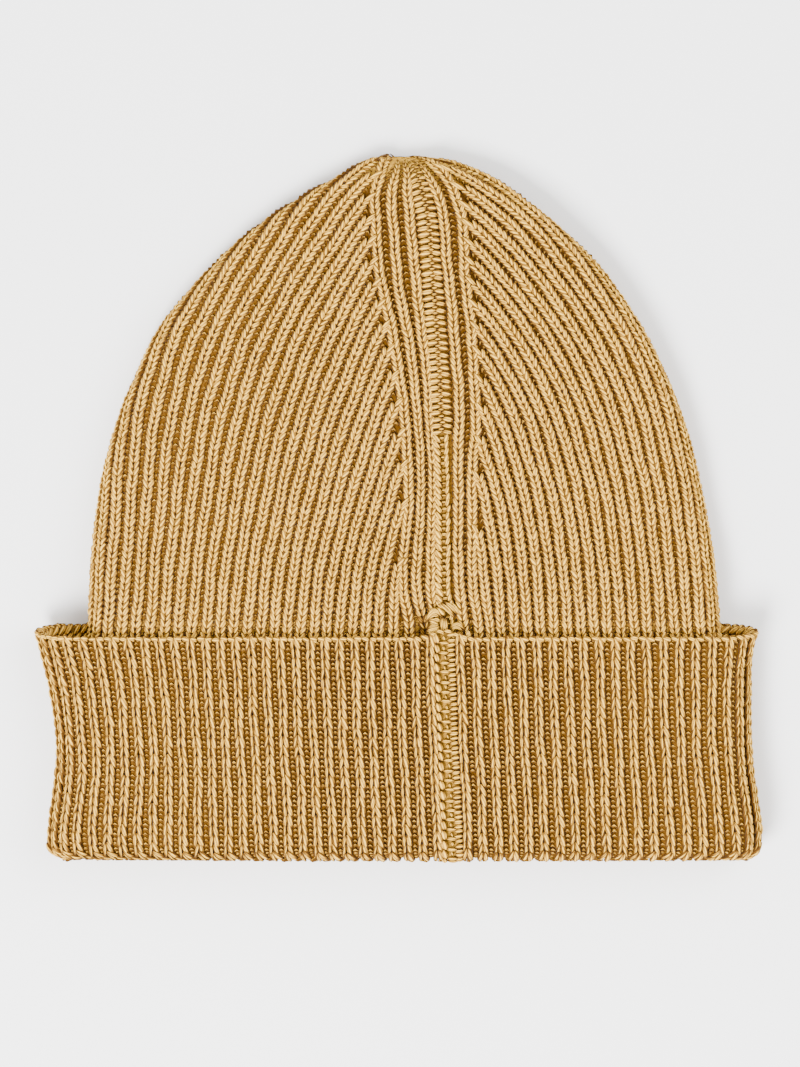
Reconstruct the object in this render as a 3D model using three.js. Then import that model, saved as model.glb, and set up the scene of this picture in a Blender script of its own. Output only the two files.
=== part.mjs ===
// A ribbed wool beanie lying flat: crown, turned-up cuff, back seam and the tack that holds the cuff up.
// Millimetres. X runs across the hat, Y from the fold of the cuff to the tip, Z up from the surface below.
import * as THREE from "three";
import { mergeVertices } from "three/addons/utils/BufferGeometryUtils.js";

// Sizes of the hat lying flat
const crownWidth = 195;
const crownLength = 149;
const cuffSpread = 25;
const cuffHeight = 69;
const headRoom = 8.5;
const belly = 2.2;
const settleLength = 28;

// Sizes of the knitted fabric
const wall = 3;
const ribDepth = 1.1;
const ribCount = 98;
const layerGap = 0.5;
const seatGap = 0.3;
const boundEdge = 1.8;

// Sizes of the back panel, its seam and the tack
const panelRibs = 5;
const panelWidth = 23.4;
const crownSeamWidth = 3.4;
const cuffSeamWidth = 4.6;
const seamThickness = 0.9;
const tackWidth = 8;
const tackLength = 10;
const tackHeight = 3.4;
const dentDepth = 2.6;
const dentReach = 6;
const gatherPull = 0.3;
const gatherReach = 14;
const underRimRise = 5.5;

// Outline of the crown. Rise is a share of crownLength from the bound edge to the tip. Left, right and seam
// are shares of half of crownWidth from the middle line, and thick is a share of the height at the cuff.
const crownTable = [
  { rise: 0.0, left: 0.998, right: 1.002, seam: 0.126, thick: 1.0 },
  { rise: 0.157, left: 0.992, right: 0.983, seam: 0.126, thick: 1.0 },
  { rise: 0.28, left: 0.97, right: 0.951, seam: 0.126, thick: 1.0 },
  { rise: 0.404, left: 0.929, right: 0.907, seam: 0.12, thick: 1.0 },
  { rise: 0.528, left: 0.859, right: 0.84, seam: 0.112, thick: 1.0 },
  { rise: 0.652, left: 0.761, right: 0.743, seam: 0.1, thick: 0.99 },
  { rise: 0.775, left: 0.594, right: 0.607, seam: 0.086, thick: 0.98 },
  { rise: 0.855, left: 0.452, right: 0.478, seam: 0.076, thick: 0.97 },
  { rise: 0.92, left: 0.297, right: 0.35, seam: 0.056, thick: 0.92 },
  { rise: 0.961, left: 0.183, right: 0.237, seam: 0.035, thick: 0.8 },
  { rise: 0.983, left: 0.122, right: 0.135, seam: 0.012, thick: 0.62 },
  { rise: 0.994, left: 0.08, right: 0.03, seam: -0.015, thick: 0.36 },
  { rise: 1.0, left: 0.048, right: -0.04, seam: -0.044, thick: 0.1 },
];

// Ribs that have ended at the decreases beside the seam panel and at those beside the panel underneath, as
// shares of the ribs on one side of the crown.
const decreaseTable = [
  { rise: 0.0, upper: 0.0, under: 0.0 },
  { rise: 0.105, upper: 0.0, under: 0.0 },
  { rise: 0.25, upper: 0.028, under: 0.025 },
  { rise: 0.4, upper: 0.062, under: 0.105 },
  { rise: 0.528, upper: 0.1, under: 0.195 },
  { rise: 0.631, upper: 0.143, under: 0.265 },
  { rise: 0.713, upper: 0.189, under: 0.315 },
  { rise: 0.796, upper: 0.234, under: 0.375 },
  { rise: 0.868, upper: 0.28, under: 0.44 },
  { rise: 0.961, upper: 0.325, under: 0.57 },
  { rise: 1.0, upper: 0.34, under: 0.64 },
];

// Outline of the cuff. Rise is a share of cuffHeight from the fold, and the others of half of cuffWidth.
const cuffTable = [
  { rise: 0.0, left: 0.975, right: 0.985, seam: 0.137 },
  { rise: 0.045, left: 0.998, right: 1.0, seam: 0.136 },
  { rise: 0.14, left: 1.0, right: 1.004, seam: 0.134 },
  { rise: 0.4, left: 0.979, right: 0.982, seam: 0.127 },
  { rise: 0.55, left: 0.979, right: 0.976, seam: 0.122 },
  { rise: 0.74, left: 0.996, right: 0.975, seam: 0.118 },
  { rise: 0.88, left: 1.018, right: 0.978, seam: 0.115 },
  { rise: 1.0, left: 1.036, right: 0.994, seam: 0.112 },
];

// Heights at which the crown and the cuff are cut into rows, as shares of crownLength and cuffHeight
const crownRows = [
  0, 0.07, 0.14, 0.22, 0.31, 0.4, 0.49, 0.58, 0.66, 0.74, 0.81, 0.87, 0.92, 0.961, 0.983, 0.994,
];
const hiddenRows = [0.45];
const hollowRows = [0, 0.2, 0.4, 0.58, 0.74, 0.87, 0.93];
const cuffRows = [0.94, 0.72, 0.46, 0.2];
const cuffLiningRows = [0.16, 0.42, 0.7, 0.94];
const seamRows = crownRows.slice(2, -2);
const hollowEnd = 0.955;
const rollSteps = 4;

// Shares of the girth or the width that a section may not pass near the tip, where it grows round
const widestPanel = 0.22;
const roundestEnd = 0.45;
// Share of crownLength over which the top face comes down to the tip
const liftFade = 0.6;
// How much closer the cuff's ribs stand left of the seam than they would evenly, and how much wider right
const crowding = 0.05;
// How steeply a face has to look down, from 0 to 1, before the surface presses its ribs flat
const pressStart = 0.5;

// What follows from the sizes. The cuff is as much wider than the crown as it spreads.
const cuffWidth = crownWidth + cuffSpread;
const inset = wall + layerGap;
const rollRadius = wall + layerGap / 2;
const crownHeight = headRoom + 2 * wall;
const columns = 2 * ribCount;
const sideRibs = ribCount / 2 - panelRibs;
const seamX = (crownTable[0].seam * crownWidth) / 2;

// Reads one column of a table at any height, smoothly between its rows
function read(table, column, at) {
  const last = table.length - 1;
  const key = THREE.MathUtils.clamp(at, table[0].rise, table[last].rise);
  let i = 0;
  while (i < last - 1 && key > table[i + 1].rise) i += 1;
  const slope = (k) => {
    const low = Math.max(k - 1, 0);
    const high = Math.min(k + 1, last);
    return (table[high][column] - table[low][column]) / (table[high].rise - table[low].rise);
  };
  const step = table[i + 1].rise - table[i].rise;
  const t = (key - table[i].rise) / step;
  const curve = (2 * t - 3) * t * t;
  const start = table[i][column] * (1 + curve) + slope(i) * step * t * (1 - t) * (1 - t);
  return start - table[i + 1][column] * curve - slope(i + 1) * step * t * t * (1 - t);
}

// The crown at a height: inside the cuff it goes from the outline of the fold to its own
function crownSection(y, offset) {
  const rise = (y - cuffHeight) / crownLength;
  const along = THREE.MathUtils.clamp(y / cuffHeight, 0, 1);
  const side = (name) => {
    const own = (read(crownTable, name, rise) * crownWidth) / 2;
    const fold = (cuffTable[1][name] * cuffWidth) / 2 - (name === "seam" ? 0 : inset);
    return THREE.MathUtils.lerp(fold, own, along);
  };
  const settleStart = cuffHeight + underRimRise + 1;
  const settled = THREE.MathUtils.smoothstep(y, settleStart, settleStart + settleLength);
  const low = inset * (1 - settled);
  const left = -side("left");
  const right = side("right");
  const high = low + crownHeight * read(crownTable, "thick", rise);
  const half = Math.min((high - low) / 2, (right - left) * roundestEnd);
  return {
    left: left - offset,
    right: right + offset,
    low: low - offset,
    high: low + 2 * half + offset,
    seam: side("seam"),
    settled,
  };
}

// The cuff at a height, measured outwards from its inner face
function cuffSection(y, offset) {
  const rise = y / cuffHeight;
  const crown = crownSection(Math.min(y, cuffHeight), layerGap + offset);
  return {
    left: (-read(cuffTable, "left", rise) * cuffWidth) / 2 + wall - offset,
    right: (read(cuffTable, "right", rise) * cuffWidth) / 2 - wall + offset,
    low: crown.low,
    high: crown.high,
    seam: (read(cuffTable, "seam", rise) * cuffWidth) / 2,
    settled: 1,
  };
}

// Length round a flattened tube with straight faces and round edges
function girth(section) {
  const radius = (section.high - section.low) / 2;
  return 2 * (section.right - section.left - 2 * radius) + 2 * Math.PI * radius;
}

// The point and outward normal at a share of the way round, from the seam on top towards the left edge
function pointRound(section, share) {
  const radius = (section.high - section.low) / 2;
  const middle = (section.high + section.low) / 2;
  const leftEnd = section.left + radius;
  const rightEnd = section.right - radius;
  const arc = Math.PI * radius;
  const start = section.seam - leftEnd;
  const way = girth(section) * (share - Math.floor(share));
  const onArc = (centre, angle) => ({
    x: centre + radius * Math.cos(angle),
    z: middle + radius * Math.sin(angle),
    nx: Math.cos(angle),
    nz: Math.sin(angle),
  });
  if (way < start) return { x: section.seam - way, z: section.high, nx: 0, nz: 1 };
  if (way < start + arc) return onArc(leftEnd, Math.PI / 2 + (way - start) / radius);
  const under = way - start - arc;
  const face = rightEnd - leftEnd;
  if (under < face) return { x: leftEnd + under, z: section.low, nx: 0, nz: -1 };
  if (under < face + arc) return onArc(rightEnd, -Math.PI / 2 + (under - face) / radius);
  return { x: rightEnd - (under - face - arc), z: section.high, nx: 0, nz: 1 };
}

// How far the top face is raised by the air in the hat, and pulled down beside the tack
function topLift(x, y) {
  const across = Math.min(Math.abs((2 * x) / crownWidth), 1);
  const along = THREE.MathUtils.smoothstep(cuffHeight + crownLength - y, 0, crownLength * liftFade);
  return belly * (1 - across * across) * along;
}

function dent(x, y) {
  const away = Math.hypot(x - seamX + tackWidth, y - cuffHeight - tackLength / 2);
  return dentDepth * Math.exp(-((away / dentReach) ** 2));
}

// How far the ribs beside the seam are drawn towards the tack
function gather(x, y) {
  const away = Math.hypot(x - seamX, y - cuffHeight - tackLength / 2);
  return gatherPull * (seamX - x) * Math.exp(-((away / gatherReach) ** 2));
}

// Where a rib column stands at a height of the crown: a share of the way round, and how much of its
// relief is left as it runs into a decrease
function crownColumn(column, y, section) {
  const rise = (y - cuffHeight) / crownLength;
  const round = girth(section);
  const panel = Math.min(panelWidth / 2 / round, widestPanel);
  const mirrored = column > ribCount;
  const own = mirrored ? columns - column : column;
  const upper = read(decreaseTable, "upper", rise) * sideRibs;
  const under = read(decreaseTable, "under", rise) * sideRibs;
  let share;
  let relief = 1;
  if (own <= panelRibs) {
    share = (panel * own) / panelRibs;
  } else if (own >= ribCount - panelRibs) {
    share = 0.5 - (panel * (ribCount - own)) / panelRibs;
  } else {
    const live = sideRibs - upper - under;
    const place = (own - panelRibs) / 2 - upper;
    share = panel + (0.5 - 2 * panel) * THREE.MathUtils.clamp(place / live, 0, 1);
    relief = THREE.MathUtils.clamp(Math.min(place, live - place), 0, 1);
  }
  return { share: mirrored ? 1 - share : share, relief };
}

// How deep a valley lies below the ridges of the ribs. Ribs that lie on the surface are pressed flat.
function valleyDepth(normal, settled) {
  const pressed = THREE.MathUtils.smoothstep(-normal.nz, pressStart, 1) * settled;
  return ribDepth * (1 - pressed);
}

function crownPoint(y, offset, column, isRidge) {
  const section = crownSection(y, offset);
  const place = crownColumn(column, y, section);
  const p = pointRound(section, place.share);
  const valley = offset < 0 ? 0 : valleyDepth(p, section.settled);
  const depth = isRidge ? valley * (1 - place.relief) : valley;
  const top = Math.max(p.nz, 0);
  const x = p.x - p.nx * depth + top * gather(p.x, y);
  const z = p.z - p.nz * depth + top * (topLift(p.x, y) - dent(p.x, y));
  return new THREE.Vector3(x, y, z);
}

// Ridges stand on even columns, with a channel on both sides of column 0 for the seam
function onRidge(column) {
  return column % 2 === 0 && column !== 0;
}

function crownRing(y, ribbed) {
  return Array.from({ length: columns }, (_, c) => crownPoint(y, 0, c, ribbed && onRidge(c)));
}

// Smooth inside face, one column to a rib
function crownLining(y) {
  return Array.from({ length: ribCount }, (_, c) => crownPoint(y, -wall, 2 * c + 1, false));
}

// A point of the cuff: outward is measured from its inner face, and y is from the fold. The bound edge of
// the layer underneath reaches further than the one on top.
function cuffPoint(y, outward, column, valleyShare) {
  const section = cuffSection(y, outward);
  const round = (2 * Math.PI * column) / columns;
  const p = pointRound(section, (round - crowding * (1 - Math.cos(round))) / (2 * Math.PI));
  const depth = valleyDepth(p, section.settled) * valleyShare;
  const pastRoll = Math.max((y - rollRadius) / (cuffHeight - rollRadius), 0);
  const reach = underRimRise * (0.5 - p.nz / 2) * pastRoll;
  const lift = topLift(p.x, y) * Math.max(p.nz, 0);
  return new THREE.Vector3(p.x - p.nx * depth, y + reach, p.z - p.nz * depth + lift);
}

function cuffRing(y, outward, relief) {
  return Array.from({ length: columns }, (_, c) => cuffPoint(y, outward, c, onRidge(c) ? 0 : relief));
}

function cuffLining(y, outward) {
  return Array.from({ length: ribCount }, (_, c) => cuffPoint(y, outward, 2 * c, 0));
}

// Triangles between two closed rings, whose points are numbered by even shares of the way round
function zip(triangles, first, second) {
  let i = 0;
  let j = 0;
  while (i < first.length || j < second.length) {
    const nextFirst = (i + 1) / first.length;
    const nextSecond = (j + 1) / second.length;
    const a = first[i % first.length];
    const b = second[j % second.length];
    if (i < first.length && nextFirst <= nextSecond) {
      triangles.push([a, b, first[(i + 1) % first.length]]);
      i += 1;
    } else {
      triangles.push([a, b, second[(j + 1) % second.length]]);
      j += 1;
    }
  }
}

// One closed body from a list of rings. Ends are closed by a point, or the last ring joins the first.
function skin(rings, start, end) {
  const triangles = [];
  const fan = (ring, tip, flip) => {
    ring.forEach((p, k) => {
      const next = ring[(k + 1) % ring.length];
      triangles.push(flip ? [p, next, tip] : [next, p, tip]);
    });
  };
  for (let r = 0; r + 1 < rings.length; r += 1) zip(triangles, rings[r], rings[r + 1]);
  if (start) fan(rings[0], start, true);
  if (end) fan(rings[rings.length - 1], end, false);
  if (!start && !end) zip(triangles, rings[rings.length - 1], rings[0]);
  const positions = [];
  triangles.forEach((t) => t.forEach((p) => positions.push(p.x, p.y, p.z)));
  const loose = new THREE.BufferGeometry();
  loose.setAttribute("position", new THREE.Float32BufferAttribute(positions, 3));
  const merged = mergeVertices(loose, 1e-4);
  const index = Array.from(merged.index.array);
  const kept = [];
  for (let k = 0; k < index.length; k += 3) {
    const [a, b, c] = index.slice(k, k + 3);
    if (a !== b && b !== c && c !== a) kept.push(a, b, c);
  }
  merged.setIndex(kept);
  merged.computeVertexNormals();
  return merged;
}

function makeCrown() {
  const lowEnd = rollRadius + seatGap;
  const tipY = cuffHeight + crownLength;
  const hidden = hiddenRows.map((share) => crownRing(share * cuffHeight, false));
  const shown = crownRows.map((rise) => crownRing(cuffHeight + rise * crownLength, true));
  const hollow = hollowRows.map((rise) => crownLining(cuffHeight + rise * crownLength));
  const last = crownSection(tipY, 0);
  const tip = new THREE.Vector3((last.left + last.right) / 2, tipY, (last.low + last.high) / 2);
  const endY = cuffHeight + hollowEnd * crownLength;
  const deep = crownSection(endY, -wall);
  const end = new THREE.Vector3((deep.left + deep.right) / 2, endY, (deep.low + deep.high) / 2);
  const inner = [crownLining(lowEnd), ...hollow].reverse();
  const outer = [crownRing(lowEnd, false), ...hidden, ...shown];
  return skin([...inner, ...outer], end, tip);
}

function makeCuff() {
  const rings = cuffRows.map((share) => cuffRing(share * cuffHeight, wall, 1));
  rings.unshift(cuffRing(cuffHeight, wall - boundEdge / 2, 0));
  for (let k = 0; k <= rollSteps; k += 1) {
    const turn = (Math.PI * k) / rollSteps;
    const outward = rollRadius * Math.cos(turn) - layerGap / 2;
    rings.push(cuffRing(rollRadius * (1 - Math.sin(turn)), outward, Math.max(Math.cos(turn / 2), 0)));
  }
  rings.push(cuffLining(rollRadius, -layerGap));
  rings.push(cuffLining(rollRadius - layerGap / 2, -layerGap / 2));
  rings.push(cuffLining(rollRadius, 0));
  cuffLiningRows.forEach((share) => rings.push(cuffLining(share * cuffHeight, 0)));
  rings.push(cuffLining(cuffHeight, boundEdge / 2));
  return skin(rings.reverse(), null, null);
}

// A flat strip along a seam: each row gives its two lower and two upper corners
function strip(rows) {
  const first = rows[0];
  const last = rows[rows.length - 1];
  const middle = (row) => row.reduce((sum, p) => sum.clone().add(p)).multiplyScalar(1 / row.length);
  return skin(rows, middle(first), middle(last));
}

function seamRow(pointAt, width) {
  const low = pointAt(-ribDepth + seatGap);
  const high = pointAt(-ribDepth + seatGap + seamThickness);
  const shift = (p, dx) => new THREE.Vector3(p.x + dx, p.y, p.z);
  const half = width / 2;
  return [shift(low, -half), shift(low, half), shift(high, half), shift(high, -half)];
}

function makeCrownSeam() {
  const rows = seamRows.map((rise) => {
    const y = cuffHeight + rise * crownLength;
    const narrow = Math.min(1, (girth(crownSection(y, 0)) * widestPanel * 2) / panelWidth);
    const base = crownPoint(y, 0, 0, true);
    return seamRow((out) => base.clone().setZ(base.z + out), crownSeamWidth * narrow);
  });
  return strip(rows);
}

function makeCuffSeam() {
  const rows = [...cuffRows, rollRadius / cuffHeight].reverse().map((share) => {
    const base = cuffPoint(share * cuffHeight, wall, 0, 0);
    return seamRow((out) => base.clone().setZ(base.z + out), cuffSeamWidth);
  });
  return strip(rows);
}

// The tack is a small lump of stitches on the crown, against the bound edge of the cuff
function makeTack() {
  const lump = new THREE.SphereGeometry(0.5, 12, 8);
  lump.deleteAttribute("uv");
  lump.deleteAttribute("normal");
  const closed = mergeVertices(lump, 1e-4);
  closed.scale(tackWidth, tackLength, tackHeight);
  closed.computeVertexNormals();
  return closed;
}

const yarn = { roughness: 0.95, metalness: 0 };
const hat = new THREE.Group();

function add(name, geometry, colour) {
  const mesh = new THREE.Mesh(geometry, new THREE.MeshStandardMaterial({ color: colour, ...yarn }));
  mesh.name = name;
  hat.add(mesh);
  return mesh;
}

add("crown", makeCrown(), 0xbe985b);
add("cuff", makeCuff(), 0xc29c60);
add("crown_seam", makeCrownSeam(), 0xa98348);
add("cuff_seam", makeCuffSeam(), 0xb48e52);
const tack = add("seam_tack", makeTack(), 0xa37d42);
const tackY = cuffHeight + seatGap + tackLength / 2;
const tackBase = crownPoint(tackY, 0, 0, true);
tack.position.set(tackBase.x, tackY, tackBase.z + tackHeight / 2 + seatGap);

// The hat lies with the middle of its box over the origin
const box = new THREE.Box3().setFromObject(hat);
hat.position.set(-(box.min.x + box.max.x) / 2, -(box.min.y + box.max.y) / 2, -box.min.z);

export default hat;
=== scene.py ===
import math
import bpy
import numpy as np
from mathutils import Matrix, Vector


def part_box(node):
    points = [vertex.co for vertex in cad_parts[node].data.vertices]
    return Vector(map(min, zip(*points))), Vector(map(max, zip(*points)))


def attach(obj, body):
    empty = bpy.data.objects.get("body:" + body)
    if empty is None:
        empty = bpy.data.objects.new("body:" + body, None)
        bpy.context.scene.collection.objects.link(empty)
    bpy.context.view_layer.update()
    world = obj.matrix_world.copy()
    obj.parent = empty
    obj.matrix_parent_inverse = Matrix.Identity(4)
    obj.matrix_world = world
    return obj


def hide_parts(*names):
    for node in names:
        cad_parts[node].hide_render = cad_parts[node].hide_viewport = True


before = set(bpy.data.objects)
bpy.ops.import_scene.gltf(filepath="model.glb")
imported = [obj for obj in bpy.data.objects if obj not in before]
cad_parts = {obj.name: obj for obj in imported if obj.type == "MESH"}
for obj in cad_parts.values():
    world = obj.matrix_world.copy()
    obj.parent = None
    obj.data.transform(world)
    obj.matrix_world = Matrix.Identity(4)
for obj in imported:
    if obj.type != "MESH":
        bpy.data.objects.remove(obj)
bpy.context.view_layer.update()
MM = 0.001

# Sizes of the hat lying flat, in millimetres
CROWN_WIDTH = 195.0
CROWN_LENGTH = 149.0
CUFF_WIDTH = 220.0
CUFF_HEIGHT = 69.0
TIP = CUFF_HEIGHT + CROWN_LENGTH
WALL = 3.0
LAYER_GAP = 0.5
INSET = WALL + LAYER_GAP
ROLL_RADIUS = WALL + LAYER_GAP / 2
HEAD_ROOM = 8.5
CROWN_HEIGHT = HEAD_ROOM + 2 * WALL
# The side edges are as round as the height allows, up to this share of the width
ROUNDEST_END = 0.45
# The top face swells in the middle, and flattens over this share of the crown towards the tip
BELLY = 2.2
LIFT_FADE = 0.6
# Past the rim underneath, the crown comes down to the floor
SETTLE_START = CUFF_HEIGHT + 6.5
SETTLE_LENGTH = 28.0

# Columns count round the hat from the seam: even ones are ribs and odd ones are valleys. A panel without
# decreases runs up on both sides of the seam, and another up the middle of the face underneath. They are
# this many columns wide from their middle to each edge, and no wider than a share of the way round
RIB_COUNT = 98
COLUMNS = 2 * RIB_COUNT
LEFT_PANEL = 5
RIGHT_PANEL = 3
UNDER_PANEL = 5
UNDER_PANEL_WIDTH = 23.4
WIDEST_PANEL = 0.22
SIDE_RIBS = RIB_COUNT / 2 - UNDER_PANEL
# The ribs of the left side stand closer together beside the panel, by this share
CLOSER = 0.065
# The first rib beside a panel runs on along the decrease, and the others end where they reach it. There the
# stitches pass under the rib that runs on, and the fabric piles up beside it
RUN_ON = 0.75
END_PLACE = 0.9
UNDER_PLACE = 0.2
PILE_PLACE = 0.8

# The tack, the dent beside it, and how far and where the ribs above the rim lean to the right
TACK_WIDTH = 8.0
TACK_LENGTH = 10.0
DENT_DEPTH = 2.6
DENT_REACH = 6.0
GATHER_HEIGHT = 1.0
GATHER_REACH = 9.0
LEFT_SWEEP = 2.8
LEFT_SWEEP_X = -9.0
RIGHT_SWEEP = 1.4
RIGHT_SWEEP_X = 8.0
SWEEP_REACH = 8.0

# Stitches: a course is one row of stitches, and its pitch is the height of a stitch
CROWN_COURSE = 1.97
CUFF_COURSE = 3.0
CUFF_ARC_PITCH = 1.5
LINING_COURSE = 2.5
# The pitch of the ribs at which a seam bar or an edge loop has its full size
FULL_PITCH = 4.2
# How far yarn may reach past the fold and past the tip
FOLD_SLACK = 0.6
TIP_SLACK = 0.2


def table(names, rows):
    """Turns rows of numbers into named columns."""
    return {name: np.array([row[i] for row in rows]) for i, name in enumerate(names)}


# The crown by height: how far its two edges and its seam stand from the middle as shares of half its width,
# and its thickness as a share
CROWN_TABLE = table(("rise", "left", "right", "seam", "thick"), [
    (0.0, 0.998, 1.002, 0.126, 1.0),
    (0.157, 0.992, 0.983, 0.126, 1.0),
    (0.28, 0.97, 0.951, 0.126, 1.0),
    (0.404, 0.929, 0.907, 0.12, 1.0),
    (0.528, 0.859, 0.84, 0.112, 1.0),
    (0.652, 0.761, 0.743, 0.1, 0.99),
    (0.775, 0.594, 0.607, 0.086, 0.98),
    (0.855, 0.452, 0.478, 0.076, 0.97),
    (0.92, 0.297, 0.35, 0.056, 0.92),
    (0.961, 0.183, 0.237, 0.035, 0.8),
    (0.983, 0.122, 0.135, 0.012, 0.62),
    (0.994, 0.08, 0.03, -0.015, 0.36),
    (1.0, 0.048, -0.04, -0.044, 0.1),
])
# The ribs of each side that have ended, as shares: beside the panel on top, and beside the one underneath.
# These rows come from a fit to the directions and distances of the ribs in the photograph
DECREASE_TABLE = table(("rise", "left upper", "left under", "right upper", "right under"), [
    (0, 0, 0, 0, 0),
    (0.1, 0.007, 0.0024, 0.0023, 0),
    (0.2, 0.0215, 0.0258, 0.0109, 0.0119),
    (0.3, 0.0423, 0.0664, 0.0284, 0.042),
    (0.4, 0.0748, 0.1152, 0.0576, 0.0798),
    (0.5, 0.1118, 0.1676, 0.0927, 0.1397),
    (0.6, 0.1536, 0.2195, 0.1326, 0.2061),
    (0.7, 0.203, 0.2752, 0.1797, 0.2895),
    (0.8, 0.2553, 0.3556, 0.2341, 0.3932),
    (0.9, 0.3064, 0.4755, 0.2932, 0.5139),
    (1, 0.3575, 0.6182, 0.3523, 0.6468),
])
# The cuff by height, in the same way as the crown
CUFF_TABLE = table(("rise", "left", "right", "seam"), [
    (0.0, 0.975, 0.985, 0.137),
    (0.045, 0.998, 1.0, 0.136),
    (0.14, 1.0, 1.004, 0.134),
    (0.4, 0.979, 0.982, 0.127),
    (0.55, 0.979, 0.976, 0.122),
    (0.74, 0.996, 0.975, 0.118),
    (0.88, 1.018, 0.978, 0.115),
    (1.0, 1.036, 0.994, 0.112),
])
# How far the rib that follows each decrease line stands from the seam, in millimetres
LINE_TABLE = table(("rise", "left", "right"), [
    (0.0, 13.2, 9.4),
    (0.15, 12.6, 8.8),
    (0.28, 10.6, 8.6),
    (0.36, 10.3, 9.4),
    (0.43, 10.8, 10.8),
    (0.52, 11.6, 11.2),
    (0.62, 13.4, 10.8),
    (0.72, 15.8, 10.0),
    (0.8, 16.6, 9.8),
    (0.87, 16.0, 9.6),
    (0.92, 13.6, 8.6),
    (0.96, 8.6, 6.0),
    (1.0, 2.2, 1.6),
])
SEAM_X = CROWN_TABLE["seam"][0] * CROWN_WIDTH / 2

# The sizes above run from the hat's own middle line and fold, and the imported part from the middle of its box
tack_low, tack_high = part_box("seam_tack")
MIDDLE = (tack_low.x + tack_high.x) / 2 - SEAM_X * MM
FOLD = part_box("cuff")[0].y
ORIGIN = np.array([MIDDLE, FOLD, 0.0])


def clamp01(values):
    """Values kept between none and one."""
    return np.clip(values, 0.0, 1.0)


def smoothstep(values, start, end):
    """A soft step from none to one between two values."""
    t = clamp01((values - start) / (end - start))
    return t * t * (3 - 2 * t)


def unit(vectors):
    """Vectors scaled to a length of one."""
    return vectors / np.maximum(np.linalg.norm(vectors, axis=-1, keepdims=True), 1e-9)


def read(rows, column, at):
    """Reads one column of a table at any height, smoothly between its rows."""
    rise, values = rows["rise"], rows[column]
    key = np.clip(at, rise[0], rise[-1])
    i = np.clip(np.searchsorted(rise, key, side="left") - 1, 0, len(rise) - 2)
    low = np.maximum(np.arange(len(rise)) - 1, 0)
    high = np.minimum(np.arange(len(rise)) + 1, len(rise) - 1)
    slope = (values[high] - values[low]) / (rise[high] - rise[low])
    step = rise[i + 1] - rise[i]
    t = (key - rise[i]) / step
    curve = (2 * t - 3) * t * t
    start = values[i] * (1 + curve) + slope[i] * step * t * (1 - t) ** 2
    return start - values[i + 1] * curve - slope[i + 1] * step * t * t * (1 - t)


def read_side(rows, left, at, ending=""):
    """Reads a table's column for the left side or the right one, at each height."""
    return np.where(left, read(rows, "left" + ending, at), read(rows, "right" + ending, at))


def crown_section(y, offset):
    """The flattened tube of the crown at a height, in the hat's own millimetres."""
    rise = (y - CUFF_HEIGHT) / CROWN_LENGTH
    along = clamp01(y / CUFF_HEIGHT)

    def side(name):
        own = read(CROWN_TABLE, name, rise) * CROWN_WIDTH / 2
        fold = CUFF_TABLE[name][1] * CUFF_WIDTH / 2 - (0 if name == "seam" else INSET)
        return fold + (own - fold) * along

    low = INSET * (1 - smoothstep(y, SETTLE_START, SETTLE_START + SETTLE_LENGTH))
    left, right = -side("left"), side("right")
    height = CROWN_HEIGHT * read(CROWN_TABLE, "thick", rise)
    half = np.minimum(height / 2, (right - left) * ROUNDEST_END)
    return {
        "left": left - offset, "right": right + offset,
        "low": low - offset, "high": low + 2 * half + offset,
        "seam": side("seam"),
    }


def cuff_section(y, offset):
    """The flattened tube of the cuff at a height, measured outwards from its inner face."""
    rise = y / CUFF_HEIGHT
    crown = crown_section(np.minimum(y, CUFF_HEIGHT), LAYER_GAP + offset)
    return {
        "left": -read(CUFF_TABLE, "left", rise) * CUFF_WIDTH / 2 + WALL - offset,
        "right": read(CUFF_TABLE, "right", rise) * CUFF_WIDTH / 2 - WALL + offset,
        "low": crown["low"], "high": crown["high"],
        "seam": read(CUFF_TABLE, "seam", rise) * CUFF_WIDTH / 2,
    }


def girth(section):
    """The way round a flattened tube."""
    radius = (section["high"] - section["low"]) / 2
    return 2 * (section["right"] - section["left"] - 2 * radius) + 2 * math.pi * radius


def point_round(section, share):
    """The point and normal at a share of the way round, from the seam on top towards the left edge."""
    radius = (section["high"] - section["low"]) / 2
    middle = (section["high"] + section["low"]) / 2
    left_end, right_end = section["left"] + radius, section["right"] - radius
    arc = math.pi * radius
    start = section["seam"] - left_end
    way = girth(section) * (share % 1.0)
    face = right_end - left_end
    under = way - start - arc
    after = under - face - arc
    turn_left = math.pi / 2 + (way - start) / radius
    turn_right = -math.pi / 2 + (under - face) / radius
    zones = [way < start, way < start + arc, under < face, under < face + arc]
    x = np.select(zones, [
        section["seam"] - way, left_end + radius * np.cos(turn_left),
        left_end + under, right_end + radius * np.cos(turn_right),
    ], right_end - after)
    z = np.select(zones, [
        section["high"] + 0 * way, middle + radius * np.sin(turn_left),
        section["low"] + 0 * way, middle + radius * np.sin(turn_right),
    ], section["high"] + 0 * way)
    nx = np.select(zones, [0 * way, np.cos(turn_left), 0 * way, np.cos(turn_right)], 0 * way)
    nz = np.select(zones, [1 + 0 * way, np.sin(turn_left), -1 + 0 * way, np.sin(turn_right)], 1 + 0 * way)
    return x, z, nx, nz


def top_lift(x, y):
    """How much higher the top face lies than a flat one."""
    across = np.minimum(np.abs(2 * x / CROWN_WIDTH), 1)
    along = smoothstep(TIP - y, 0, CROWN_LENGTH * LIFT_FADE)
    return BELLY * (1 - across * across) * along


def dent(x, y):
    """How far the tack draws the crown down beside it."""
    away = np.hypot(x - SEAM_X + TACK_WIDTH, y - CUFF_HEIGHT - TACK_LENGTH / 2)
    return DENT_DEPTH * np.exp(-(away / DENT_REACH) ** 2)


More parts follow.
